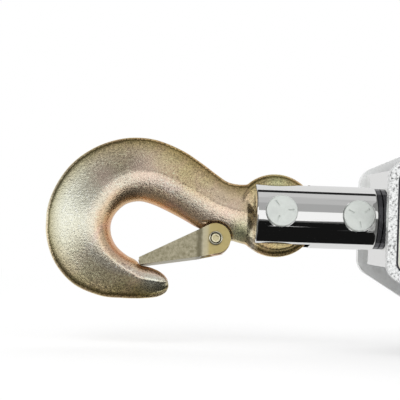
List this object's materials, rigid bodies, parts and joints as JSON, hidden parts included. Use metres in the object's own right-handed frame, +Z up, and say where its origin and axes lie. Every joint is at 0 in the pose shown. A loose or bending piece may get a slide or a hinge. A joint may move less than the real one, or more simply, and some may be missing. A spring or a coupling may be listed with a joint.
{
  "type": "come along winch",
  "caption": "Hand-operated cable puller with a swivelling forged hook, a ratchet drum in a plate frame, wire rope with a latched hook and a lever handle.",
  "frame": {"origin": "middle of the bounding box at floor height, where the side plates stand", "axes": "+X along the line of pull from the swivel hook towards the handle, +Z up"},
  "size_m": [0.7308, 0.1088, 0.114],
  "materials": {
    "forged_zinc_yellow": "forged, yellow zinc plated",
    "latch_zinc_yellow": "sheet steel, yellow zinc plated",
    "chrome": "polished",
    "bright_steel": "bright zinc",
    "frame_zinc": "zinc plated sheet",
    "ratchet_steel": "oiled steel",
    "wire_rope": "galvanised strands",
    "spring_steel": "spring wire",
    "grip_rubber": "moulded",
    "bronze": "machined"
  },
  "bodies": {
    "frame": {"side_plate_front": "frame_zinc", "side_plate_rear": "frame_zinc", "swivel_end_plate": "frame_zinc", "tie_rod_left": "bright_steel", "tie_rod_right": "bright_steel", "handle_stop_stud_front": "bright_steel", "handle_stop_stud_rear": "bright_steel", "axle_bolt": "bright_steel", "axle_nut": "bright_steel", "axle_washer_front": "bright_steel", "axle_washer_rear": "bright_steel", "stop_pawl_pin": "bright_steel", "stop_pawl_spacer_front": "bright_steel", "stop_pawl_spacer_rear": "bright_steel", "stop_pawl_spring": "spring_steel"},
    "swivel": {"swivel_tube": "chrome", "swivel_stud": "bright_steel", "hook_pin": "chrome", "shank_pin": "chrome", "swivel_washer": "bright_steel", "thrust_washer": "bronze"},
    "anchor_hook_body": {"anchor_hook": "forged_zinc_yellow", "anchor_latch_rivet": "latch_zinc_yellow", "anchor_latch_spring": "spring_steel"},
    "anchor_latch_body": {"anchor_latch": "latch_zinc_yellow"},
    "drum": {"ratchet_wheel_front": "ratchet_steel", "ratchet_wheel_rear": "ratchet_steel", "drum_spool": "ratchet_steel", "drum_bush": "bronze", "wheel_bolt_1": "bright_steel", "wheel_bolt_2": "bright_steel", "wheel_bolt_3": "bright_steel", "wound_rope": "wire_rope"},
    "rope_end": {"thimble": "bright_steel", "rope_eye": "wire_rope", "ferrule": "ratchet_steel", "free_rope": "wire_rope"},
    "cable_hook_body": {"cable_hook": "forged_zinc_yellow", "cable_latch_rivet": "latch_zinc_yellow", "cable_latch_spring": "spring_steel"},
    "cable_latch_body": {"cable_latch": "latch_zinc_yellow"},
    "handle": {"handle_fork_front": "frame_zinc", "handle_fork_rear": "frame_zinc", "handle_tube": "bright_steel", "handle_grip": "grip_rubber", "handle_bolt_1": "bright_steel", "handle_bolt_2": "bright_steel", "drive_pawl_pin": "bright_steel", "drive_pawl_spacer_front": "bright_steel", "drive_pawl_spacer_rear": "bright_steel", "drive_pawl_spring": "spring_steel"},
    "drive_pawl_body": {"drive_pawl": "ratchet_steel"},
    "stop_pawl_body": {"stop_pawl": "ratchet_steel"}
  },
  "joints": [
    {"name": "swivel_turn", "type": "hinge", "parent": "frame", "child": "swivel", "pos_m": [-0.2516, 0, 0.066], "axis": [1, 0, 0], "continuous": true},
    {"name": "anchor_hook_rock", "type": "hinge", "parent": "swivel", "child": "anchor_hook_body", "pos_m": [-0.2503, 0, 0.066], "axis": [0, 0.9903, -0.1392], "range_deg": [-5, 5]},
    {"name": "anchor_latch_open", "type": "hinge", "parent": "anchor_hook_body", "child": "anchor_latch_body", "pos_m": [-0.2817, -0.00185, 0.05283], "axis": [0, 0.9903, -0.1392], "range_deg": [0, 28], "stiffness_Nm_per_rad": 0.02, "springref_deg": -28.65},
    {"name": "drum_turn", "type": "hinge", "parent": "frame", "child": "drum", "pos_m": [-0.0946, 0, 0.066], "axis": [0, -1, 0], "range_deg": [0, 2880]},
    {"name": "rope_pull", "type": "slide", "parent": "frame", "child": "rope_end", "axis": [1, 0, 0], "range_m": [0, 1.508], "deforming": ["free_rope"]},
    {"name": "cable_hook_swing", "type": "hinge", "parent": "rope_end", "child": "cable_hook_body", "pos_m": [0.0317, 0.0103, 0.016], "axis": [0, 0, 1], "range_deg": [-50, 50]},
    {"name": "cable_latch_open", "type": "hinge", "parent": "cable_hook_body", "child": "cable_latch_body", "pos_m": [0.06545, 0.0236, 0.01411], "axis": [-0.0571, 0, -0.9984], "range_deg": [0, 28], "stiffness_Nm_per_rad": 0.02, "springref_deg": -28.65},
    {"name": "handle_swing", "type": "hinge", "parent": "frame", "child": "handle", "pos_m": [-0.0946, 0, 0.066], "axis": [0, -1, 0], "range_deg": [0, 90]},
    {"name": "drive_pawl_engage", "type": "hinge", "parent": "handle", "child": "drive_pawl_body", "pos_m": [-0.02923, 0, 0.08474], "axis": [0, 1, 0], "range_deg": [0, 12], "stiffness_Nm_per_rad": 0.1, "springref_deg": -57.3},
    {"name": "stop_pawl_engage", "type": "hinge", "parent": "frame", "child": "stop_pawl_body", "pos_m": [-0.1606, 0, 0.071], "axis": [0, 1, 0], "range_deg": [0, 12], "stiffness_Nm_per_rad": 0.1, "springref_deg": -57.3}
  ],
  "couplings": [
    {"joint": "rope_pull", "follows": "drum_turn", "m_per_rad": 0.03}
  ]
}
